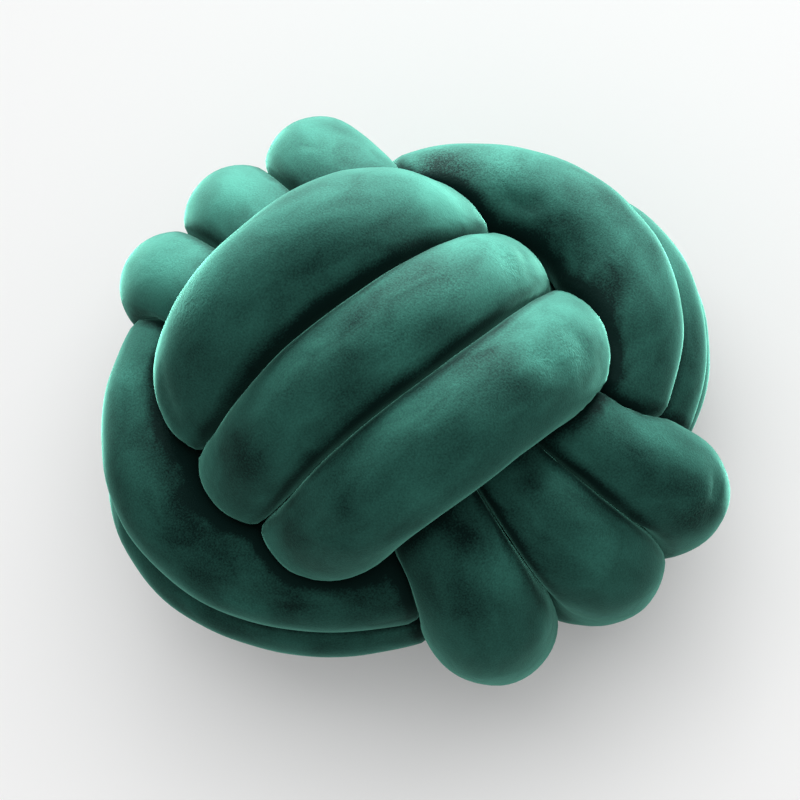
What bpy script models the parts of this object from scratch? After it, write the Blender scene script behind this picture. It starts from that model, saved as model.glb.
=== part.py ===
"""Knot cushion: one long stuffed velvet tube, tied into a ball of three bundles of three turns.

Frame: metres, +Z up, origin on the surface that it lies on, under the middle of its bounding box.
The face bundle's tubes run along X over the top, the cross bundle's along Y round the two ends,
and the girdle bundle goes round the waist. Each bundle passes over one of the others and under
the other one.
"""

import math

import bmesh
import bpy
import numpy as np
from mathutils.bvhtree import BVHTree

COLLECTION_NAME = "knot_cushion"
NODE_NAME = "knot_tube"

# Size of the tube and of its mesh
REST_HEIGHT = 0.151        # middle of the knot above the surface that presses it flat
CORE_RADIUS = 0.020        # thin, less filled tube where it runs through the middle of the knot
SECTION_SIDES = 14
CURVE_STEP = 0.002         # spacing at which the route's smooth curve is drawn
FINE_STEP = 0.007          # spacing of the centre line's points
RINGS_EVERY = 4            # centre line points from one ring of the mesh to the next
LINE_ROUNDS = 5            # rounds of evening out that the centre line gets
RADIUS_ROUNDS = 22         # and those that the radius gets, so that it changes slowly
END_NARROWING = 0.55       # the tube's two closed ends, hidden in the middle, are drawn in to this

# How neighbouring turns press each other flat
CONTACT_GAP = 0.0026       # left between two turns where they press together
CONTACT_ROUNDING = 0.006   # rounds the edge of a pressed place
REACH_HALVINGS = 12        # of the range in which a corner's reach is looked for
FARTHEST_REACH = 1.5       # top of that range, in radii
SAME_STRETCH = 0.095       # nearer than this along the tube, it isn't its own neighbour
MOST_SWELLING = 1.10       # a squeezed tube swells where it is free, up to this
SWELLING_SPREAD = 0.040    # the swelling fades along the tube over about this length
EASING = 0.965             # where flat faces still cut each other, their corners are drawn in so
EASING_ROUNDS = 40

# Axes (0 is X, 1 is Y, 2 is Z) that a bundle's turns are stacked along, reach far over the next
# bundle along, and reach less far along, under the bundle that covers them
BUNDLE_AXES = {
    "face": {"stack": 1, "over": 2, "under": 0},
    "cross": {"stack": 0, "over": 1, "under": 2},
    "girdle": {"stack": 2, "over": 0, "under": 1},
}

# One row for each turn. The four places say where the turn lies along its stack axis as it passes
# the +over, -over, +under and -under sides, and the four reaches how far its centre line is from
# the middle of the knot there. A squareness of 2 is an ellipse, and more is boxier. The two radii
# are the tube's on the +over and -over sides.
TURN_COLUMNS = (
    "bundle",
    "place_over_plus", "place_over_minus", "place_under_plus", "place_under_minus",
    "reach_over_plus", "reach_over_minus", "reach_under_plus", "reach_under_minus",
    "squareness", "radius_plus", "radius_minus",
)
TURN_ROWS = (
    ("face", 0.0475, 0.050, 0.036, 0.036, 0.143, 0.133, 0.060, 0.085, 2.30, 0.0360, 0.0330),
    ("face", -0.0130, -0.004, 0.003, -0.010, 0.146, 0.134, 0.074, 0.093, 2.30, 0.0315, 0.0315),
    ("face", -0.0660, -0.058, -0.040, -0.044, 0.143, 0.132, 0.085, 0.081, 2.30, 0.0310, 0.0320),
    ("cross", 0.038, 0.088, 0.050, 0.026, 0.136, 0.136, 0.070, 0.086, 2.80, 0.0300, 0.0300),
    ("cross", -0.016, 0.036, 0.011, -0.006, 0.137, 0.143, 0.077, 0.086, 2.80, 0.0305, 0.0320),
    ("cross", -0.070, -0.034, -0.010, -0.038, 0.128, 0.133, 0.080, 0.086, 2.80, 0.0295, 0.0335),
    ("girdle", 0.050, 0.050, 0.042, 0.044, 0.1345, 0.1365, 0.091, 0.087, 1.97, 0.0310, 0.0310),
    ("girdle", 0.000, 0.000, 0.000, 0.000, 0.147, 0.151, 0.072, 0.095, 2.10, 0.0310, 0.0310),
    ("girdle", -0.050, -0.050, -0.042, -0.044, 0.151, 0.141, 0.072, 0.087, 2.10, 0.0310, 0.0310),
)
GIRDLE_TWIST = math.radians(-11)   # the girdle sits a little askew on the ball

# How late a turn swings from its covered to its outer place, on its +over and -over sides
SWING = {"face": (1.3, 1.3), "cross": (0.7, 2.2), "girdle": (1.3, 1.3)}

# Each bundle starts and ends, and steps from one turn to the next, on its covered side at this
# angle, and winds in this direction
COIL_START = {"face": math.pi, "cross": math.pi, "girdle": 0.0}
COIL_WAY = {"face": -1, "cross": -1, "girdle": 1}
COIL_POINTS = 480
STEP_OVER = math.radians(50)      # half of the angle that the step to the next turn takes
LEAVING = math.radians(20)        # angle past the start at which the tube comes out of the middle

# The tube's way through the middle: its first end to the face bundle, from there to the cross
# bundle, on to the girdle, and to its last end
CORE_ROUTES = (
    ((-0.050, 0.034, 0.018), (-0.068, 0.040, 0.036)),
    ((-0.064, -0.038, -0.034), (-0.044, -0.036, -0.004), (-0.010, -0.028, 0.005),
     (0.022, -0.014, -0.008), (0.030, 0.006, -0.040), (0.028, 0.030, -0.068)),
    ((-0.040, -0.028, -0.068), (-0.036, 0.002, -0.038), (-0.020, 0.018, 0.000),
     (-0.005, 0.038, 0.028), (0.024, 0.060, 0.046)),
    ((-0.025, 0.062, -0.046), (0.002, 0.044, -0.034), (0.018, 0.028, -0.024)),
)

VELVET_COLOUR = (0.012, 0.120, 0.090, 1.0)
VELVET_ROUGHNESS = 0.85


def signed_power(value, power):
    """A power that keeps the sign, for the rounded box shape of a turn."""
    return np.sign(value) * np.abs(value) ** power


def by_sign(value, plus, minus):
    """One of two sizes, by the side of the knot that a point is on."""
    return np.where(value > 0, plus, minus)


def turn_line(turn, angle):
    """Centre line of one turn: a rounded box loop, whose place in the stack changes with the side."""
    axes = BUNDLE_AXES[turn["bundle"]]
    sine = np.sin(angle)
    cosine = np.cos(angle)
    over = signed_power(sine, 2 / turn["squareness"])
    under = signed_power(cosine, 2 / turn["squareness"])
    over = over * by_sign(over, turn["reach_over_plus"], turn["reach_over_minus"])
    under = under * by_sign(under, turn["reach_under_plus"], turn["reach_under_minus"])
    twist = GIRDLE_TWIST if turn["bundle"] == "girdle" else 0.0
    outer_share = np.abs(sine) ** by_sign(sine, *SWING[turn["bundle"]])
    outer_place = by_sign(sine, turn["place_over_plus"], turn["place_over_minus"])
    covered_place = by_sign(cosine, turn["place_under_plus"], turn["place_under_minus"])
    points = np.zeros((len(angle), 3))
    points[:, axes["stack"]] = outer_share * outer_place + (1 - outer_share) * covered_place
    points[:, axes["over"]] = over * math.cos(twist) - under * math.sin(twist)
    points[:, axes["under"]] = over * math.sin(twist) + under * math.cos(twist)
    return points


def turn_radius(turn, angle):
    """The tube's radius along one turn."""
    return by_sign(np.sin(angle), turn["radius_plus"], turn["radius_minus"])


def ease(value):
    """Smooth step from 0 to 1."""
    value = np.clip(value, 0, 1)
    return value * value * (3 - 2 * value)


def coil_line(bundle, turns):
    """Centre line and radius of a bundle: its turns one after another, with the steps between."""
    wound = np.linspace(LEAVING, 2 * math.pi * len(turns) - LEAVING, COIL_POINTS)
    angle = COIL_START[bundle] + COIL_WAY[bundle] * wound
    points = turn_line(turns[0], angle)
    radius = turn_radius(turns[0], angle)
    for number, turn in enumerate(turns[1:], start=1):
        step_start = 2 * math.pi * number - STEP_OVER
        share = ease((wound - step_start) / (2 * STEP_OVER))
        points = points * (1 - share[:, None]) + turn_line(turn, angle) * share[:, None]
        radius = radius * (1 - share) + turn_radius(turn, angle) * share
    return points, radius


def smooth(values, rounds):
    """Even out a row of values, keeping its two ends."""
    for _ in range(rounds):
        middle = 0.25 * values[:-2] + 0.5 * values[1:-1] + 0.25 * values[2:]
        values = np.concatenate([values[:1], middle, values[-1:]])
    return values


def curve_through(points, radius, step):
    """A smooth curve through the points, with a point at every even step along it."""
    before = 2 * points[0] - points[1]
    after = 2 * points[-1] - points[-2]
    padded = np.vstack([before, points, after])
    chord = np.linalg.norm(np.diff(padded, axis=0), axis=1)[:, None]
    slope = np.diff(padded, axis=0) / chord
    tangent = (slope[:-1] * chord[1:] + slope[1:] * chord[:-1]) / (chord[:-1] + chord[1:])
    pieces = []
    radii = []
    for index in range(len(points) - 1):
        length = float(chord[index + 1, 0])
        t = np.linspace(0, 1, int(length / CURVE_STEP) + 2, endpoint=False)
        u = t[:, None]
        pieces.append(
            (2 * u**3 - 3 * u**2 + 1) * points[index]
            + (u**3 - 2 * u**2 + u) * length * tangent[index]
            + (3 * u**2 - 2 * u**3) * points[index + 1]
            + (u**3 - u**2) * length * tangent[index + 1]
        )
        radii.append(radius[index] * (1 - t) + radius[index + 1] * t)
    curve = np.vstack(pieces + [points[-1:]])
    radii = np.concatenate(radii + [radius[-1:]])
    along = np.concatenate([[0], np.cumsum(np.linalg.norm(np.diff(curve, axis=0), axis=1))])
    even = np.linspace(0, along[-1], int(round(along[-1] / step)) + 1)
    line = np.stack([np.interp(even, along, curve[:, axis]) for axis in range(3)], axis=1)
    return line, np.interp(even, along, radii), even


def tube_line():
    """The whole tube's centre line, radius and length along it, from one end to the other."""
    turns = [dict(zip(TURN_COLUMNS, row)) for row in TURN_ROWS]
    points = []
    radius = []
    for route, bundle in zip(CORE_ROUTES, list(BUNDLE_AXES) + [None]):
        points.append(np.array(route))
        radius.append(np.full(len(route), CORE_RADIUS))
        if bundle:
            coil, coil_radius = coil_line(bundle, [t for t in turns if t["bundle"] == bundle])
            points.append(coil)
            radius.append(coil_radius)
    line, radii, along = curve_through(np.vstack(points), np.concatenate(radius), FINE_STEP)
    line = smooth(line, LINE_ROUNDS)
    radii = smooth(radii, RADIUS_ROUNDS)
    line[:, 2] += REST_HEIGHT
    return line, radii, along


def section_directions(line):
    """Directions from the centre line to the corners of each section, without any twist."""
    tangent = np.gradient(line, axis=0)
    tangent /= np.linalg.norm(tangent, axis=1)[:, None]
    side = np.zeros_like(line)
    carried = np.array([0.0, 1.0, 0.0])
    for index, direction in enumerate(tangent):
        carried = carried - direction * np.dot(carried, direction)
        carried /= np.linalg.norm(carried)
        side[index] = carried
    other = np.cross(tangent, side)
    angle = 2 * math.pi * np.arange(SECTION_SIDES) / SECTION_SIDES
    return (side[:, None, :] * np.cos(angle)[None, :, None]
            + other[:, None, :] * np.sin(angle)[None, :, None])


def near_stretches(line, radius, along, rings):
    """For each ring, the points of the other stretches of tube that can press on it."""
    distance = np.linalg.norm(line[rings][:, None, :] - line[None, :, :], axis=2)
    other = np.abs(along[rings][:, None] - along[None, :]) > SAME_STRETCH
    reach = (radius[rings][:, None] + radius[None, :]) * MOST_SWELLING
    pressing = other & (distance < reach)
    most = int(pressing.sum(axis=1).max())
    nearest = np.argsort(np.where(pressing, distance, np.inf), axis=1)[:, :most]
    return nearest, np.take_along_axis(pressing, nearest, axis=1)


def pressed_sections(centres, radius, directions, neighbours, neighbour_radius):
    """How far each corner is from the centre line: free, or stopped where two stretches meet."""
    low = np.zeros(directions.shape[:2])
    high = np.repeat(FARTHEST_REACH * radius[:, None], directions.shape[1], axis=1)
    for _ in range(REACH_HALVINGS):
        middle = (low + high) / 2
        corner = centres[:, None, :] + directions * middle[:, :, None]
        gap = np.linalg.norm(corner[:, :, None, :] - neighbours[:, None, :, :], axis=3)
        gap = (gap - neighbour_radius[:, None, :]).min(axis=2)
        fits = middle - radius[:, None] + CONTACT_GAP <= gap
        low = np.where(fits, middle, low)
        high = np.where(fits, high, middle)
    free = np.repeat(radius[:, None], directions.shape[1], axis=1)
    share = np.clip(0.5 + 0.5 * (low - free) / CONTACT_ROUNDING, 0, 1)
    return low * (1 - share) + free * share - CONTACT_ROUNDING * share * (1 - share)


def tube_rings():
    """Corners of every section of the tube, with the turns pressed together and on the surface."""
    line, radius, along = tube_line()
    directions = section_directions(line)
    rings = np.arange(0, len(line), RINGS_EVERY)
    nearest, pressing = near_stretches(line, radius, along, rings)
    centres = line[rings]
    directions = directions[rings]

    def pressed(full_radius):
        neighbour_radius = np.where(pressing, full_radius[nearest], -1.0)
        return pressed_sections(
            centres, full_radius[rings], directions, line[nearest], neighbour_radius)

    squeezed = pressed(radius)
    squeezed_area = (squeezed * np.roll(squeezed, -1, axis=1)).sum(axis=1)
    full_area = SECTION_SIDES * radius[rings] ** 2
    swelling = np.clip(np.sqrt(full_area / squeezed_area), 1, MOST_SWELLING)
    swelling = smooth(swelling, int(SWELLING_SPREAD / (FINE_STEP * RINGS_EVERY)) + 1)
    reach = pressed(radius * np.interp(along, along[rings], swelling))
    reach[[0, -1]] *= END_NARROWING
    corners = eased_apart(centres, directions, reach)
    sides = corners[:, :, :2].reshape(-1, 2)
    corners[:, :, :2] -= (sides.min(axis=0) + sides.max(axis=0)) / 2
    return corners


def corner_places(centres, directions, reach):
    """The corners of all sections, none below the surface that the knot lies on."""
    corners = centres[:, None, :] + directions * reach[:, :, None]
    corners[:, :, 2] = np.maximum(corners[:, :, 2], 0.0)
    return corners


def loft_triangles(ring_count):
    """Corner numbers of the triangles between neighbouring sections."""
    triangles = []
    for ring in range(ring_count - 1):
        for side in range(SECTION_SIDES):
            after = (side + 1) % SECTION_SIDES
            first = ring * SECTION_SIDES + side
            second = ring * SECTION_SIDES + after
            triangles.append((first, second, second + SECTION_SIDES))
            triangles.append((first, second + SECTION_SIDES, first + SECTION_SIDES))
    return triangles


def eased_apart(centres, directions, reach):
    """The corners, drawn in wherever the flat faces of two stretches still cut each other."""
    triangles = loft_triangles(len(centres))
    for _ in range(EASING_ROUNDS):
        corners = corner_places(centres, directions, reach)
        tree = BVHTree.FromPolygons(corners.reshape(-1, 3).tolist(), triangles)
        cutting = set()
        for one, other in tree.overlap(tree):
            if not set(triangles[one]) & set(triangles[other]):
                cutting.update(triangles[one])
        if not cutting:
            break
        flat_reach = reach.reshape(-1)
        flat_reach[list(cutting)] *= EASING
    return corners


def velvet_material():
    """Dark green short-pile velvet."""
    material = bpy.data.materials.new("green_velvet")
    material.use_nodes = True
    shader = material.node_tree.nodes["Principled BSDF"]
    shader.inputs["Base Color"].default_value = VELVET_COLOUR
    shader.inputs["Roughness"].default_value = VELVET_ROUGHNESS
    shader.inputs["Metallic"].default_value = 0.0
    return material


def build_tube(collection):
    """The tube: a loft through its unlike sections, closed at both ends."""
    corners = tube_rings()
    mesh = bpy.data.meshes.new(NODE_NAME)
    loft = bmesh.new()
    verts = [loft.verts.new(corner) for corner in corners.reshape(-1, 3)]
    for triangle in loft_triangles(len(corners)):
        loft.faces.new([verts[index] for index in triangle])
    ends = [loft.faces.new(verts[:SECTION_SIDES][::-1]), loft.faces.new(verts[-SECTION_SIDES:])]
    bmesh.ops.triangulate(loft, faces=ends)
    loft.to_mesh(mesh)
    loft.free()
    mesh.shade_smooth()
    tube = bpy.data.objects.new(NODE_NAME, mesh)
    tube.data.materials.append(velvet_material())
    collection.objects.link(tube)
    return tube


def main():
    for old in list(bpy.data.objects):
        bpy.data.objects.remove(old)
    collection = bpy.data.collections.new(COLLECTION_NAME)
    bpy.context.scene.collection.children.link(collection)
    build_tube(collection)


main()
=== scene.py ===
"""Looks of the knot cushion: one long stuffed velvet tube, tied into a ball of three bundles.

The tube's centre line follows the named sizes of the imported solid, with the girdle a little nearer
to the photograph. Its surface is worked out here at a finer step, with the turns pressed softly
against each other and on the floor.
"""

import math

import bpy
import numpy as np
from mathutils import Matrix, Vector, noise
from mathutils.bvhtree import BVHTree


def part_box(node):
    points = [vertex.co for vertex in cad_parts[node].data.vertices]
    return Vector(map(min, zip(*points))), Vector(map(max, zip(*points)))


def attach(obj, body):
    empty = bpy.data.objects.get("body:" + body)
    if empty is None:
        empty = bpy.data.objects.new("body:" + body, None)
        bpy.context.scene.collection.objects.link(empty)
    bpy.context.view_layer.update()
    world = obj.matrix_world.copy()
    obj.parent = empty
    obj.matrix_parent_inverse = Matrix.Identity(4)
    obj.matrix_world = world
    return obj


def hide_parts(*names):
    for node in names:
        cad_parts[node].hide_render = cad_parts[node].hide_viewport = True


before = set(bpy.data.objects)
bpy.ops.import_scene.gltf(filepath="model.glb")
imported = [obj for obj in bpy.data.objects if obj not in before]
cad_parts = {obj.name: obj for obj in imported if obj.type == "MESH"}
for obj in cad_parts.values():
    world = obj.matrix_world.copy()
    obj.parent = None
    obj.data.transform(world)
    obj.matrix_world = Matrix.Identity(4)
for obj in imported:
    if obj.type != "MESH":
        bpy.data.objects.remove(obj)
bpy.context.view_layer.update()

# The tube
REST_HEIGHT = 0.151        # middle of the knot above the floor that presses it flat
CORE_RADIUS = 0.020        # thin, less filled tube where it runs through the middle of the knot
CURVE_STEP = 0.001         # of the curve that the sections are spaced out along
LINE_STEP = 0.0041         # from one section to the next
SECTION_SIDES = 50         # corners of each section
LINE_ROUNDS = 15           # rounds of evening out that the centre line gets
RADIUS_ROUNDS = 64         # and those that the radius gets, so that it changes slowly
SWELLING_ROUNDS = 48       # and those of the swelling
USUAL_RADIUS = 0.031       # of the tube, for the velvet's pattern round it
END_NARROWING = 0.55       # the tube's two closed ends, hidden in the middle, are drawn in to this

# How neighbouring turns press each other flat
CONTACT_GAP = 0.0007       # left between two turns where they press together
CONTACT_ROUNDING = 0.0055  # rounds the edge of a pressed place
SAME_STRETCH = 0.095       # nearer than this along the tube, it isn't its own neighbour
MOST_SWELLING = 1.10       # a squeezed tube swells where it is free, up to this
FARTHEST_REACH = 1.5       # no corner of a section is looked for farther out than this many radii
REACH_HALVINGS = 14        # rounds of halving that find how far a section reaches
LEAST_DOWNWARD = 0.001     # a direction that sinks less than this never meets the floor
SECTIONS_AT_ONCE = 200     # keeps the tables of distances small

# Axes (0 is X, 1 is Y, 2 is Z) that a bundle's turns are stacked along, reach far over the next
# bundle along, and reach less far along, under the bundle that covers them
BUNDLE_AXES = {
    "face": {"stack": 1, "over": 2, "under": 0},
    "cross": {"stack": 0, "over": 1, "under": 2},
    "girdle": {"stack": 2, "over": 0, "under": 1},
}

# One row for each turn. The four places say where the turn lies along its stack axis as it passes
# the +over, -over, +under and -under sides, and the four reaches how far its centre line is from
# the middle of the knot there. A squareness of 2 is an ellipse, and more is boxier. The two radii
# are the tube's on the +over and -over sides.
TURN_COLUMNS = (
    "bundle",
    "place_over_plus", "place_over_minus", "place_under_plus", "place_under_minus",
    "reach_over_plus", "reach_over_minus", "reach_under_plus", "reach_under_minus",
    "squareness", "radius_plus", "radius_minus",
)
TURN_ROWS = (
    ("face", 0.0475, 0.050, 0.036, 0.036, 0.143, 0.133, 0.060, 0.085, 2.30, 0.0360, 0.0330),
    ("face", -0.0130, -0.004, 0.003, -0.010, 0.146, 0.134, 0.074, 0.093, 2.30, 0.0315, 0.0315),
    ("face", -0.0660, -0.058, -0.040, -0.044, 0.143, 0.132, 0.085, 0.081, 2.30, 0.0310, 0.0320),
    ("cross", 0.038, 0.088, 0.050, 0.026, 0.136, 0.136, 0.070, 0.086, 2.80, 0.0300, 0.0300),
    ("cross", -0.016, 0.036, 0.011, -0.006, 0.137, 0.143, 0.077, 0.086, 2.80, 0.0305, 0.0320),
    ("cross", -0.070, -0.034, -0.010, -0.038, 0.128, 0.133, 0.080, 0.086, 2.80, 0.0295, 0.0335),
    ("girdle", 0.050, 0.050, 0.042, 0.038, 0.1345, 0.1315, 0.091, 0.094, 1.97, 0.0310, 0.0345),
    ("girdle", 0.000, -0.004, 0.000, -0.006, 0.1455, 0.150, 0.072, 0.101, 2.10, 0.0310, 0.0310),
    ("girdle", -0.050, -0.052, -0.042, -0.046, 0.151, 0.139, 0.072, 0.088, 2.10, 0.0310, 0.0310),
)
GIRDLE_TWIST = math.radians(-11)   # the girdle sits a little askew on the ball

# How late a turn swings from its covered to its outer place, on its +over and -over sides
SWING = {"face": (1.3, 1.3), "cross": (0.7, 2.2), "girdle": (1.3, 1.3)}

# Each bundle starts and ends, and steps from one turn to the next, on its covered side at this
# angle, and winds in this direction
COIL_START = {"face": math.pi, "cross": math.pi, "girdle": 0.0}
COIL_WAY = {"face": -1, "cross": -1, "girdle": 1}
COIL_POINTS = 480
STEP_OVER = math.radians(50)      # half of the angle that the step to the next turn takes
LEAVING = math.radians(20)        # angle past the start at which the tube comes out of the middle

# The tube's way through the middle: its first end to the face bundle, from there to the cross
# bundle, on to the girdle, and to its last end
CORE_ROUTES = (
    ((-0.050, 0.034, 0.018), (-0.068, 0.040, 0.036)),
    ((-0.064, -0.038, -0.034), (-0.044, -0.036, -0.004), (-0.010, -0.028, 0.005),
     (0.022, -0.014, -0.008), (0.030, 0.006, -0.040), (0.028, 0.030, -0.068)),
    ((-0.040, -0.028, -0.068), (-0.036, 0.002, -0.038), (-0.020, 0.018, 0.000),
     (-0.005, 0.038, 0.028), (0.024, 0.060, 0.046)),
    ((-0.025, 0.062, -0.046), (0.002, 0.044, -0.034), (0.018, 0.028, -0.024)),
)

# Unevenness of the filling and of the cloth: size across in metres, height in metres
LUMPS = ((0.060, 0.0016), (0.026, 0.0007))

# Soft folds that the photograph shows, by three points each in its pixels. The width and the depth
# are in metres, and a fold with a depth below zero is a ridge.
FOLD_COLUMNS = ("first", "middle", "last", "width", "depth")
FOLD_ROWS = (
    ((714, 472), (718, 492), (708, 512), 0.0048, 0.0032),
    ((600, 493), (626, 514), (656, 528), 0.0060, -0.0024),
    ((528, 468), (545, 458), (562, 474), 0.0046, 0.0042),
    ((161, 366), (166, 398), (176, 420), 0.0055, 0.0018),
    ((311, 512), (331, 532), (356, 538), 0.0070, 0.0016),
    ((206, 592), (240, 596), (278, 606), 0.0060, 0.0022),
    ((498, 244), (505, 257), (502, 270), 0.0050, 0.0014),
    ((518, 248), (526, 262), (522, 278), 0.0050, 0.0012),
    ((530, 356), (549, 362), (563, 377), 0.0050, 0.0014),
    ((564, 328), (583, 345), (580, 368), 0.0055, 0.0014),
    ((499, 192), (519, 204), (545, 202), 0.0055, 0.0016),
    ((640, 236), (652, 262), (656, 292), 0.0055, 0.0012),
)
FOLD_POINTS = 9            # points at which each fold is laid on the tube
FOLD_END = 0.1             # share of a half wave that a fold's depth starts and ends with

# Places, in the photograph's pixels, where the pile's colour is made lighter or darker, mostly as
# painted highlight on the lit ends and painted shade where shade falls, partly as brushed nap, and
# where it is crushed. The size is in metres.
PATCH_COLUMNS = ("across", "down", "size", "painted_light_and_nap", "crushed")
PATCH_ROWS = (
    (130, 376, 0.011, 0.08, 0.5),
    (112, 400, 0.010, 0.00, 0.3),
    (165, 462, 0.018, -0.18, 0.0),
    (190, 505, 0.018, -0.16, 0.0),
    (225, 550, 0.018, -0.14, 0.0),
    (290, 594, 0.018, -0.14, 0.0),
    (365, 592, 0.016, -0.12, 0.0),
    (434, 164, 0.012, -0.20, 1.0),
    (458, 166, 0.014, -0.18, 0.6),
    (500, 172, 0.014, 0.04, 0.6),
    (560, 230, 0.018, -0.14, 0.0),
    (600, 300, 0.020, -0.14, 0.0),
    (610, 370, 0.018, -0.10, 0.0),
    (155, 270, 0.022, 0.22, 0.4),
    (225, 200, 0.022, 0.24, 0.0),
    (315, 140, 0.022, 0.08, 0.0),
    (448, 205, 0.020, 0.46, 0.3),
    (190, 300, 0.020, 0.02, 0.8),
    (506, 258, 0.016, 0.12, 1.0),
    (430, 278, 0.018, -0.14, 0.0),
    (455, 288, 0.010, 0.00, 0.5),
    (350, 345, 0.018, -0.06, 0.0),
    (330, 222, 0.020, -0.02, 0.0),
    (495, 365, 0.018, -0.10, 0.0),
    (572, 350, 0.014, 0.04, 1.0),
    (545, 362, 0.012, 0.04, 0.8),
    (400, 352, 0.013, 0.12, 0.6),
    (300, 395, 0.016, -0.06, 0.0),
    (236, 452, 0.017, -0.16, 0.0),
    (370, 430, 0.016, 0.04, 0.0),
    (340, 500, 0.015, -0.08, 0.0),
    (298, 550, 0.018, -0.14, 0.0),
    (430, 500, 0.014, 0.10, 0.3),
    (532, 478, 0.008, -0.22, 0.0),
    (557, 472, 0.011, 0.18, 0.2),
    (600, 560, 0.012, 0.08, 0.4),
    (503, 572, 0.013, 0.16, 0.7),
    (467, 533, 0.011, -0.26, 0.0),
    (462, 590, 0.016, -0.12, 0.0),
    (482, 655, 0.014, 0.06, 0.0),
    (640, 470, 0.016, -0.04, 0.0),
    (700, 508, 0.014, -0.04, 0.8),
    (240, 606, 0.014, 0.06, 0.3),
)
SAME_PATCH = 0.060         # a fold or a patch stays within this length of the tube, to each side
CREASE_SHADE_REACH = 0.012        # painted shade darkens the pile's colour where another turn is nearer than this

# Pattern of the velvet: size of its patches in metres, its finer layers and how warped it is
BROAD = (0.032, 1.0, 0.3)
STROKES = (0.012, 1.0, 0.5)
CRINKLES = (0.0045, 3.0, 1.2)
PILE = (0.0010, 2.0, 0.0)
PATCH_STRETCH = (0.70, 1, 1)    # draws the brushed patches out along the tube

# How much each pattern counts in the shade of the pile
STROKES_SHARE = 0.45       # beside the broad patches
PAINTED_LIGHT_AND_NAP_SHARE = 1.6        # of the painted highlights and shade, partly brushed nap, in the patches
CRINKLES_SHARE = 0.40      # where the pile is crushed
CRUSHED_PILE_SHARE = 0.50
CRUSHED_SHARE = -0.36      # takes back most of what the two patterns above add on average
PILE_SHARE = 0.34
# painted shade in the creases between turns
PAINTED_CREASE_SHADE_SHARE = -0.30

# Shade at which the pile is darkest and lightest, and its colours there
DARKEST = (0.26, (0.0013, 0.0085, 0.0072, 1))
LIGHTEST = (0.75, (0.0205, 0.0950, 0.0745, 1))

# Height in metres and strength of the fine relief
BRUSHED_RELIEF = (0.0025, 0.4)
CRINKLES_RELIEF = (0.0011, 0.5)
PILE_RELIEF = (0.0003, 0.4)

VELVET_VALUES = {
    "Roughness": 0.85,
    "Specular IOR Level": 0.05,
    "Sheen Weight": 0.45,
    "Sheen Roughness": 0.30,
    "Sheen Tint": (0.30, 0.98, 0.77, 1),
}

# Camera, in degrees and metres
CAMERA_ELEVATION = 75.0
CAMERA_ROLL = 36.5
CAMERA_DISTANCE = 1.150
CAMERA_LENS = 0.0902
SENSOR_WIDTH = 0.036
PICTURE_SIZE = 800                # pixels across and down
MIDDLE_RIGHT_OF_VIEW = 0.0017     # the knot's middle is this far right of and above the view's
MIDDLE_ABOVE_VIEW = 0.0017
MILLIMETRES = 1000                # in a metre, for the camera's own values

# Soft square lights: the way to each one from the middle, in the camera's right, up and back axes,
# its distance and size in metres, its power in watts and whether it lights only the cushion
LIGHT_COLUMNS = ("name", "right", "up", "back", "distance", "size", "power", "cushion_only")
LIGHT_ROWS = (
    ("key_left", -0.20, 1.0, -0.08, 1.8, 0.9, 172.0, True),
    ("key_right", 0.38, 1.0, -0.08, 1.8, 0.9, 158.0, True),
    ("fill", 0.0, 0.5, 1.0, 1.8, 1.4, 19.0, False),
)

# Surroundings
FLOOR_HALF = 6.0
FLOOR_DROP = 0.0004               # keeps the floor clear of the flat underside
FLOOR_COLOUR = (0.90, 0.90, 0.90, 1)
FLOOR_ROUGHNESS = 0.9
SURROUNDING_COLOUR = (1.0, 1.0, 1.0, 1)
SURROUNDING_STRENGTH = 0.66


def signed_power(value, power):
    """A power that keeps the sign, for the rounded box shape of a turn."""
    return np.sign(value) * np.abs(value) ** power


def by_sign(value, plus, minus):
    """One of two sizes, by the side of the knot that a point is on."""
    return np.where(value > 0, plus, minus)


def turn_line(turn, angle):
    """Centre line of a turn: a rounded box loop whose place in the stack changes with the side."""
    axes = BUNDLE_AXES[turn["bundle"]]
    sine = np.sin(angle)
    cosine = np.cos(angle)
    over = signed_power(sine, 2 / turn["squareness"])
    under = signed_power(cosine, 2 / turn["squareness"])
    over = over * by_sign(over, turn["reach_over_plus"], turn["reach_over_minus"])
    under = under * by_sign(under, turn["reach_under_plus"], turn["reach_under_minus"])
    twist = GIRDLE_TWIST if turn["bundle"] == "girdle" else 0.0
    outer_share = np.abs(sine) ** by_sign(sine, *SWING[turn["bundle"]])
    outer_place = by_sign(sine, turn["place_over_plus"], turn["place_over_minus"])
    covered_place = by_sign(cosine, turn["place_under_plus"], turn["place_under_minus"])
    points = np.zeros((len(angle), 3))
    points[:, axes["stack"]] = outer_share * outer_place + (1 - outer_share) * covered_place
    points[:, axes["over"]] = over * math.cos(twist) - under * math.sin(twist)
    points[:, axes["under"]] = over * math.sin(twist) + under * math.cos(twist)
    return points


def turn_radius(turn, angle):
    """The tube's radius along one turn."""
    return by_sign(np.sin(angle), turn["radius_plus"], turn["radius_minus"])


def ease(value):
    """Smooth step from 0 to 1."""
    value = np.clip(value, 0, 1)
    return value * value * (3 - 2 * value)


def coil_line(bundle, turns):
    """Centre line and radius of a bundle: its turns one after another, with the steps between."""
    wound = np.linspace(LEAVING, 2 * math.pi * len(turns) - LEAVING, COIL_POINTS)
    angle = COIL_START[bundle] + COIL_WAY[bundle] * wound
    points = turn_line(turns[0], angle)
    radius = turn_radius(turns[0], angle)
    for number, turn in enumerate(turns[1:], start=1):
        step_start = 2 * math.pi * number - STEP_OVER
        share = ease((wound - step_start) / (2 * STEP_OVER))
        points = points * (1 - share[:, None]) + turn_line(turn, angle) * share[:, None]
        radius = radius * (1 - share) + turn_radius(turn, angle) * share
    return points, radius


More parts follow.
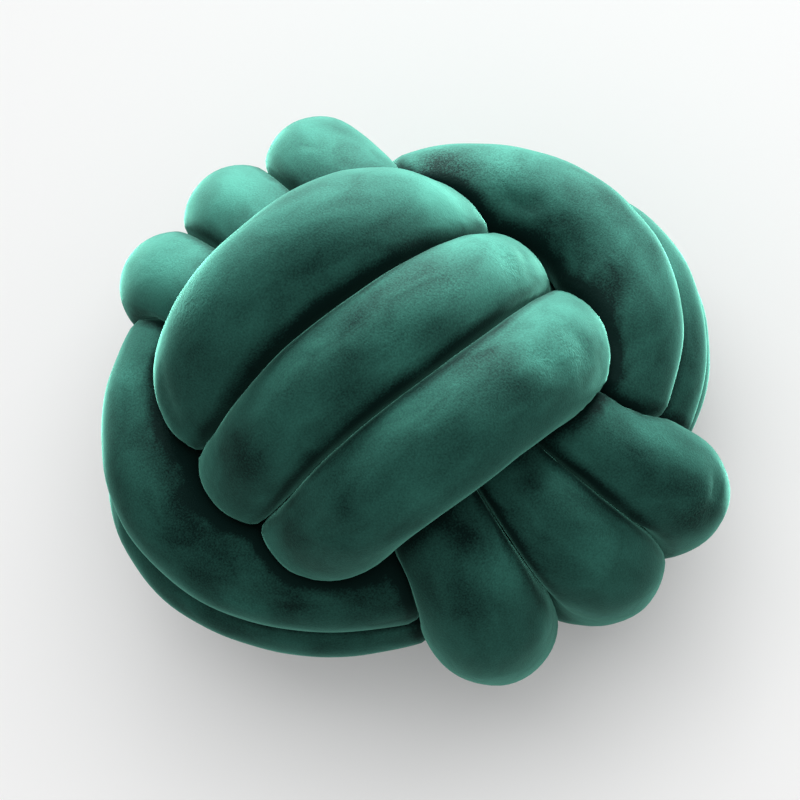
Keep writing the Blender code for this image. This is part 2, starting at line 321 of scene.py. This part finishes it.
def smooth(values, rounds):
    """Even out a row of values, keeping its two ends."""
    for _ in range(rounds):
        middle = 0.25 * values[:-2] + 0.5 * values[1:-1] + 0.25 * values[2:]
        values = np.concatenate([values[:1], middle, values[-1:]])
    return values


def eased_stretch(share, length, start, start_slope, end, end_slope):
    """Points from start to end on a curve of about this length, with these slopes at its ends."""
    share = share[:, None]
    return (
        (2 * share**3 - 3 * share**2 + 1) * start
        + (share**3 - 2 * share**2 + share) * length * start_slope
        + (3 * share**2 - 2 * share**3) * end
        + (share**3 - share**2) * length * end_slope
    )


def curve_through(points, radius, step):
    """A smooth curve through the points, with a point at every even step along it."""
    before = 2 * points[0] - points[1]
    after = 2 * points[-1] - points[-2]
    padded = np.vstack([before, points, after])
    chord = np.linalg.norm(np.diff(padded, axis=0), axis=1)[:, None]
    slope = np.diff(padded, axis=0) / chord
    tangent = (slope[:-1] * chord[1:] + slope[1:] * chord[:-1]) / (chord[:-1] + chord[1:])
    pieces = []
    radii = []
    for index in range(len(points) - 1):
        length = float(chord[index + 1, 0])
        share = np.linspace(0, 1, int(length / CURVE_STEP) + 2, endpoint=False)
        ends = (points[index], tangent[index], points[index + 1], tangent[index + 1])
        pieces.append(eased_stretch(share, length, *ends))
        radii.append(radius[index] * (1 - share) + radius[index + 1] * share)
    curve = np.vstack(pieces + [points[-1:]])
    radii = np.concatenate(radii + [radius[-1:]])
    along = np.concatenate([[0], np.cumsum(np.linalg.norm(np.diff(curve, axis=0), axis=1))])
    even = np.linspace(0, along[-1], int(round(along[-1] / step)) + 1)
    line = np.stack([np.interp(even, along, curve[:, axis]) for axis in range(3)], axis=1)
    return line, np.interp(even, along, radii), even


def tube_line():
    """The whole tube's centre line, radius and length along it, from one end to the other."""
    turns = [dict(zip(TURN_COLUMNS, row)) for row in TURN_ROWS]
    points = []
    radius = []
    for route, bundle in zip(CORE_ROUTES, list(BUNDLE_AXES) + [None]):
        points.append(np.array(route))
        radius.append(np.full(len(route), CORE_RADIUS))
        if bundle:
            own_turns = [turn for turn in turns if turn["bundle"] == bundle]
            coil, coil_radius = coil_line(bundle, own_turns)
            points.append(coil)
            radius.append(coil_radius)
    line, radii, along = curve_through(np.vstack(points), np.concatenate(radius), LINE_STEP)
    line = smooth(line, LINE_ROUNDS)
    radii = smooth(radii, RADIUS_ROUNDS)
    line[:, 2] += REST_HEIGHT
    return line, radii, along


def section_directions(line):
    """Directions from the centre line to the corners of each section, without any twist."""
    tangent = np.gradient(line, axis=0)
    tangent /= np.linalg.norm(tangent, axis=1)[:, None]
    side = np.zeros_like(line)
    carried = np.array([0.0, 1.0, 0.0])
    for index, direction in enumerate(tangent):
        carried = carried - direction * np.dot(carried, direction)
        carried /= np.linalg.norm(carried)
        side[index] = carried
    other = np.cross(tangent, side)
    angle = 2 * math.pi * np.arange(SECTION_SIDES) / SECTION_SIDES
    return (side[:, None, :] * np.cos(angle)[None, :, None]
            + other[:, None, :] * np.sin(angle)[None, :, None])


def near_stretches(line, radius, along):
    """For each section, the points of the other stretches of tube that can press on it."""
    distance = np.linalg.norm(line[:, None, :] - line[None, :, :], axis=2)
    other = np.abs(along[:, None] - along[None, :]) > SAME_STRETCH
    reach = (radius[:, None] + radius[None, :]) * MOST_SWELLING
    pressing = other & (distance < reach)
    most = int(pressing.sum(axis=1).max())
    nearest = np.argsort(np.where(pressing, distance, np.inf), axis=1)[:, :most]
    return nearest, np.take_along_axis(pressing, nearest, axis=1)


def stopped_reach(line, radius, directions, nearest, pressing):
    """How far each corner can go before it meets the floor or half way to another stretch."""
    stopped = np.zeros(directions.shape[:2])
    for first in range(0, len(line), SECTIONS_AT_ONCE):
        some = slice(first, first + SECTIONS_AT_ONCE)
        neighbours = line[nearest[some]]
        neighbour_radius = np.where(pressing[some], radius[nearest[some]], -1.0)
        low = np.zeros(directions[some].shape[:2])
        high = np.repeat(FARTHEST_REACH * radius[some, None], SECTION_SIDES, axis=1)
        for _ in range(REACH_HALVINGS):
            middle = (low + high) / 2
            corner = line[some, None, :] + directions[some] * middle[:, :, None]
            gap = np.linalg.norm(corner[:, :, None, :] - neighbours[:, None, :, :], axis=3)
            gap = (gap - neighbour_radius[:, None, :]).min(axis=2)
            fits = middle - radius[some, None] + CONTACT_GAP <= gap
            low = np.where(fits, middle, low)
            high = np.where(fits, high, middle)
        stopped[some] = low
    downward = np.maximum(-directions[:, :, 2], LEAST_DOWNWARD)
    return np.minimum(stopped, line[:, None, 2] / downward)


def soft_lower(first, second, rounding):
    """The lower of two lengths, with a rounded change from one to the other."""
    share = np.clip(0.5 + 0.5 * (first - second) / rounding, 0, 1)
    return first * (1 - share) + second * share - rounding * share * (1 - share)


def lumps(points):
    """Slight unevenness of the filling, as a height at each point."""
    height = np.zeros(len(points))
    for size, most in LUMPS:
        height += most * np.array([noise.noise(Vector(point) / size) for point in points])
    return height


def tube_surface():
    """The tube's line, length along it, directions, reach and painted crease shade, pressed together
    and on the floor.
    """
    line, radius, along = tube_line()
    directions = section_directions(line)
    nearest, pressing = near_stretches(line, radius, along)
    stopped = stopped_reach(line, radius, directions, nearest, pressing)
    squeezed = soft_lower(stopped, radius[:, None], CONTACT_ROUNDING)
    squeezed_area = (squeezed * np.roll(squeezed, -1, axis=1)).sum(axis=1)
    swelling = np.clip(np.sqrt(SECTION_SIDES * radius**2 / squeezed_area), 1, MOST_SWELLING)
    radius = radius * smooth(swelling, SWELLING_ROUNDS)
    stopped = stopped_reach(line, radius, directions, nearest, pressing)
    free = line[:, None, :] + directions * radius[:, None, None]
    full = radius[:, None] + lumps(free.reshape(-1, 3)).reshape(free.shape[:2])
    reach = soft_lower(stopped, full, CONTACT_ROUNDING)
    reach[[0, -1]] *= END_NARROWING
    # Painted shade for the creases: 1 where another turn presses close, fading to 0 farther out
    painted_crease_shade = 1 - ease((stopped - full) / CREASE_SHADE_REACH)
    return line, along, directions, reach, painted_crease_shade


def section_faces(count):
    """Corner numbers of the faces between neighbouring sections."""
    number = np.arange(count * SECTION_SIDES).reshape(count, SECTION_SIDES)
    after = np.roll(number, -1, axis=1)
    return np.stack([number[:-1], after[:-1], after[1:], number[1:]], axis=2).reshape(-1, 4)


def view_axes():
    """Right, up and back of the camera."""
    elevation = math.radians(CAMERA_ELEVATION)
    roll = math.radians(CAMERA_ROLL)
    back = Vector((0, -math.cos(elevation), math.sin(elevation)))
    level = Vector((1, 0, 0))
    upright = back.cross(level)
    right = level * math.cos(roll) - upright * math.sin(roll)
    up = level * math.sin(roll) + upright * math.cos(roll)
    return right, up, back


def turned_to(right, up, back):
    """Rotation of an object whose own X, Y and Z axes are these."""
    return Matrix((right, up, back)).transposed().to_4x4()


def camera_place(middle):
    """Where the camera is, for this middle of the knot."""
    right, up, back = view_axes()
    aim = middle - right * MIDDLE_RIGHT_OF_VIEW - up * MIDDLE_ABOVE_VIEW
    return aim + back * CAMERA_DISTANCE


def seen_place(tree, across, down):
    """Where the line of sight through a pixel meets the tube, and the number of the section."""
    right, up, back = view_axes()
    scale = SENSOR_WIDTH / CAMERA_LENS / PICTURE_SIZE
    sideways = right * (across - PICTURE_SIZE / 2) * scale
    upward = up * (down - PICTURE_SIZE / 2) * scale
    sight = sideways - upward - back
    camera = camera_place(Vector((0, 0, REST_HEIGHT)))
    place, _, face, _ = tree.ray_cast(camera, sight.normalized())
    return np.array(place), face // SECTION_SIDES


def spot(corners, along, place, section, size):
    """Weight of each corner in a soft spot on the tube: 1 in its middle, fading to 0."""
    distance = np.linalg.norm(corners - place, axis=2)
    near = np.abs(along - along[section]) < SAME_PATCH
    return np.exp(-(distance / size) ** 2) * near[:, None]


def arc_point(first, middle, last, share):
    """A point of the arc through three points."""
    return (first * (1 - share) * (1 - 2 * share)
            + 4 * middle * share * (1 - share)
            + last * share * (2 * share - 1))


def fold_depths(corners, along, tree):
    """How far the folds draw each corner in."""
    depths = np.zeros(corners.shape[:2])
    for row in FOLD_ROWS:
        fold = dict(zip(FOLD_COLUMNS, row))
        first, middle, last = (np.array(fold[name]) for name in ("first", "middle", "last"))
        trough = np.zeros(corners.shape[:2])
        for share in np.linspace(0, 1, FOLD_POINTS):
            across, down = arc_point(first, middle, last, share)
            place, section = seen_place(tree, across, down)
            weight = spot(corners, along, place, section, fold["width"])
            wave = math.sin(math.pi * (FOLD_END + (1 - 2 * FOLD_END) * share))
            trough = np.maximum(trough, weight * wave)
        depths += trough * fold["depth"]
    return depths


def patch_weights(corners, along, tree):
    """How much each corner's colour is lightened or darkened by painted light and shade and brushed
    nap, and how much it is crushed.
    """
    painted_light_and_nap = np.zeros(corners.shape[:2])
    crushed = np.zeros(corners.shape[:2])
    for row in PATCH_ROWS:
        patch = dict(zip(PATCH_COLUMNS, row))
        place, section = seen_place(tree, patch["across"], patch["down"])
        weight = spot(corners, along, place, section, patch["size"])
        painted_light_and_nap += weight * patch["painted_light_and_nap"]
        crushed = np.maximum(crushed, weight * patch["crushed"])
    return painted_light_and_nap, crushed


def tube_mesh(corners, along, values):
    """The closed surface through the corners of all sections, with values for its material."""
    count = len(corners)
    last = (count - 1) * SECTION_SIDES
    ends = [list(range(SECTION_SIDES))[::-1], list(range(last, last + SECTION_SIDES))]
    mesh = bpy.data.meshes.new("velvet_tube")
    mesh.from_pydata(corners.reshape(-1, 3).tolist(), [], section_faces(count).tolist() + ends)
    mesh.shade_smooth()
    angle = 2 * math.pi * np.arange(SECTION_SIDES) / SECTION_SIDES
    place = np.zeros(corners.shape)
    place[:, :, 0] = along[:, None]
    place[:, :, 1] = np.cos(angle) * USUAL_RADIUS
    place[:, :, 2] = np.sin(angle) * USUAL_RADIUS
    on_tube = mesh.attributes.new("on_tube", "FLOAT_VECTOR", "POINT")
    on_tube.data.foreach_set("vector", place.reshape(-1))
    for name, value in values.items():
        mesh.attributes.new(name, "FLOAT", "POINT").data.foreach_set("value", value.reshape(-1))
    return mesh


def node(tree, kind, **settings):
    """A new shader node, with its properties set."""
    made = tree.nodes.new(kind)
    for name, value in settings.items():
        setattr(made, name, value)
    return made


def noise_node(tree, coordinates, size, detail, distortion):
    """Soft noise whose patches are about this many metres across."""
    made = node(tree, "ShaderNodeTexNoise")
    made.inputs["Scale"].default_value = 1 / size
    made.inputs["Detail"].default_value = detail
    made.inputs["Distortion"].default_value = distortion
    tree.links.new(coordinates, made.inputs["Vector"])
    return made.outputs["Fac"]


def mixed(tree, first, second, share):
    """Weighted mean of two values."""
    made = node(tree, "ShaderNodeMix")
    made.inputs["Factor"].default_value = share
    tree.links.new(first, made.inputs["A"])
    tree.links.new(second, made.inputs["B"])
    return made.outputs["Result"]


def product(tree, first, second):
    """One value times another."""
    made = node(tree, "ShaderNodeMath", operation="MULTIPLY")
    tree.links.new(first, made.inputs[0])
    tree.links.new(second, made.inputs[1])
    return made.outputs[0]


def sum_of(tree, first, second, share):
    """One value plus a share of another."""
    made = node(tree, "ShaderNodeMath", operation="MULTIPLY_ADD")
    tree.links.new(second, made.inputs[0])
    made.inputs[1].default_value = share
    tree.links.new(first, made.inputs[2])
    return made.outputs[0]


def bump(tree, height, distance, strength, normal=None):
    """Normal of a surface raised by a height."""
    made = node(tree, "ShaderNodeBump")
    made.inputs["Distance"].default_value = distance
    made.inputs["Strength"].default_value = strength
    tree.links.new(height, made.inputs["Height"])
    if normal:
        tree.links.new(normal, made.inputs["Normal"])
    return made.outputs["Normal"]


def velvet_material():
    """Dark green short-pile velvet, its pile brushed in soft patches along the tube, with painted
    highlights and shade in its colour.
    """
    material = bpy.data.materials.new("green_velvet")
    material.use_nodes = True
    tree = material.node_tree
    shader = tree.nodes["Principled BSDF"]
    place = node(tree, "ShaderNodeTexCoord").outputs["Object"]
    on_tube = node(tree, "ShaderNodeAttribute", attribute_name="on_tube").outputs["Vector"]
    # painted highlight and shade from the patches, partly brushed nap
    painted_light_and_nap = node(tree, "ShaderNodeAttribute", attribute_name="painted_light_and_nap").outputs["Fac"]
    crushed = node(tree, "ShaderNodeAttribute", attribute_name="crushed").outputs["Fac"]
    # painted shade in the creases between turns
    painted_crease_shade = node(tree, "ShaderNodeAttribute", attribute_name="painted_crease_shade").outputs["Fac"]
    stretched = node(tree, "ShaderNodeVectorMath", operation="MULTIPLY")
    stretched.inputs[1].default_value = PATCH_STRETCH
    tree.links.new(on_tube, stretched.inputs[0])
    stretched = stretched.outputs["Vector"]

    broad = noise_node(tree, stretched, *BROAD)
    strokes = noise_node(tree, stretched, *STROKES)
    crinkles = product(tree, noise_node(tree, place, *CRINKLES), crushed)
    pile = noise_node(tree, place, *PILE)
    brushed = mixed(tree, broad, strokes, STROKES_SHARE)
    # the brushed nap takes the painted highlights and shade of the patches
    nap_with_painted_light = sum_of(tree, brushed, painted_light_and_nap, PAINTED_LIGHT_AND_NAP_SHARE)
    nap_with_painted_light = sum_of(tree, nap_with_painted_light, crinkles, CRINKLES_SHARE)
    nap_with_painted_light = sum_of(tree, nap_with_painted_light, product(tree, pile, crushed), CRUSHED_PILE_SHARE)
    nap_with_painted_light = sum_of(tree, nap_with_painted_light, crushed, CRUSHED_SHARE)
    # the pile's shade takes the painted crease shade
    shade = sum_of(tree, mixed(tree, nap_with_painted_light, pile, PILE_SHARE), painted_crease_shade, PAINTED_CREASE_SHADE_SHARE)
    ramp = node(tree, "ShaderNodeValToRGB")
    for element, (position, colour) in zip(ramp.color_ramp.elements, (DARKEST, LIGHTEST)):
        element.position = position
        element.color = colour
    tree.links.new(shade, ramp.inputs["Fac"])
    tree.links.new(ramp.outputs["Color"], shader.inputs["Base Color"])

    normal = bump(tree, brushed, *BRUSHED_RELIEF)
    normal = bump(tree, crinkles, *CRINKLES_RELIEF, normal)
    normal = bump(tree, pile, *PILE_RELIEF, normal)
    tree.links.new(normal, shader.inputs["Normal"])
    for name, value in VELVET_VALUES.items():
        shader.inputs[name].default_value = value
    return material


def floor_material():
    """Even, dull and pale."""
    material = bpy.data.materials.new("pale_floor")
    material.use_nodes = True
    shader = material.node_tree.nodes["Principled BSDF"]
    shader.inputs["Base Color"].default_value = FLOOR_COLOUR
    shader.inputs["Roughness"].default_value = FLOOR_ROUGHNESS
    return material


def add_object(name, data):
    """A new object in the scene."""
    made = bpy.data.objects.new(name, data)
    bpy.context.scene.collection.objects.link(made)
    return made


def make_cushion():
    """The knotted tube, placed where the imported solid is, and the knot's middle."""
    line, along, directions, reach, painted_crease_shade = tube_surface()
    corners = line[:, None, :] + directions * reach[:, :, None]
    tree = BVHTree.FromPolygons(corners.reshape(-1, 3).tolist(), section_faces(len(line)).tolist())
    reach = reach - fold_depths(corners, along, tree)
    painted_light_and_nap, crushed = patch_weights(corners, along, tree)
    corners = line[:, None, :] + directions * reach[:, :, None]
    corners[:, :, 2] = np.maximum(corners[:, :, 2], 0.0)
    low = corners.min(axis=(0, 1))
    high = corners.max(axis=(0, 1))
    solid_low, solid_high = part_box("knot_tube")
    shift = (np.array(solid_low) + np.array(solid_high) - low - high) / 2
    shift[2] = 0.0
    values = {"painted_light_and_nap": painted_light_and_nap, "crushed": crushed, "painted_crease_shade": painted_crease_shade}
    cushion = add_object("velvet_tube", tube_mesh(corners + shift, along, values))
    cushion.data.materials.append(velvet_material())
    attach(cushion, "root")
    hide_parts("knot_tube")
    return cushion, Vector((shift[0], shift[1], REST_HEIGHT))


def make_camera(middle):
    """The camera, at the photograph's angle and distance."""
    data = bpy.data.cameras.new("camera")
    data.lens = CAMERA_LENS * MILLIMETRES
    data.sensor_width = SENSOR_WIDTH * MILLIMETRES
    camera = add_object("camera", data)
    camera.matrix_world = Matrix.Translation(camera_place(middle)) @ turned_to(*view_axes())
    bpy.context.scene.camera = camera


def make_lights(cushion, middle):
    """The soft lights. The low ones light only the cushion, so they throw no long shadow."""
    right, up, back = view_axes()
    lit = bpy.data.collections.new("lit_by_keys")
    lit.objects.link(cushion)
    for row in LIGHT_ROWS:
        values = dict(zip(LIGHT_COLUMNS, row))
        way = right * values["right"] + up * values["up"] + back * values["back"]
        way.normalize()
        data = bpy.data.lights.new(values["name"], "AREA")
        data.size = values["size"]
        data.energy = values["power"]
        light = add_object(values["name"], data)
        light.location = middle + way * values["distance"]
        light.rotation_mode = "QUATERNION"
        light.rotation_quaternion = way.to_track_quat("Z", "Y")
        if values["cushion_only"]:
            light.light_linking.receiver_collection = lit


def make_floor():
    """Plain pale floor under the cushion."""
    mesh = bpy.data.meshes.new("floor")
    corners = [(across * FLOOR_HALF, along * FLOOR_HALF, 0)
               for across, along in ((-1, -1), (1, -1), (1, 1), (-1, 1))]
    mesh.from_pydata(corners, [], [(0, 1, 2, 3)])
    mesh.materials.append(floor_material())
    floor = add_object("floor", mesh)
    floor.location.z = -FLOOR_DROP


def make_surroundings():
    """Soft even light from all round."""
    world = bpy.data.worlds.new("studio")
    bpy.context.scene.world = world
    world.use_nodes = True
    background = world.node_tree.nodes["Background"]
    background.inputs["Color"].default_value = SURROUNDING_COLOUR
    background.inputs["Strength"].default_value = SURROUNDING_STRENGTH


knot, knot_middle = make_cushion()
make_camera(knot_middle)
make_floor()
make_surroundings()
make_lights(knot, knot_middle)
bpy.context.scene.view_settings.view_transform = "Standard"
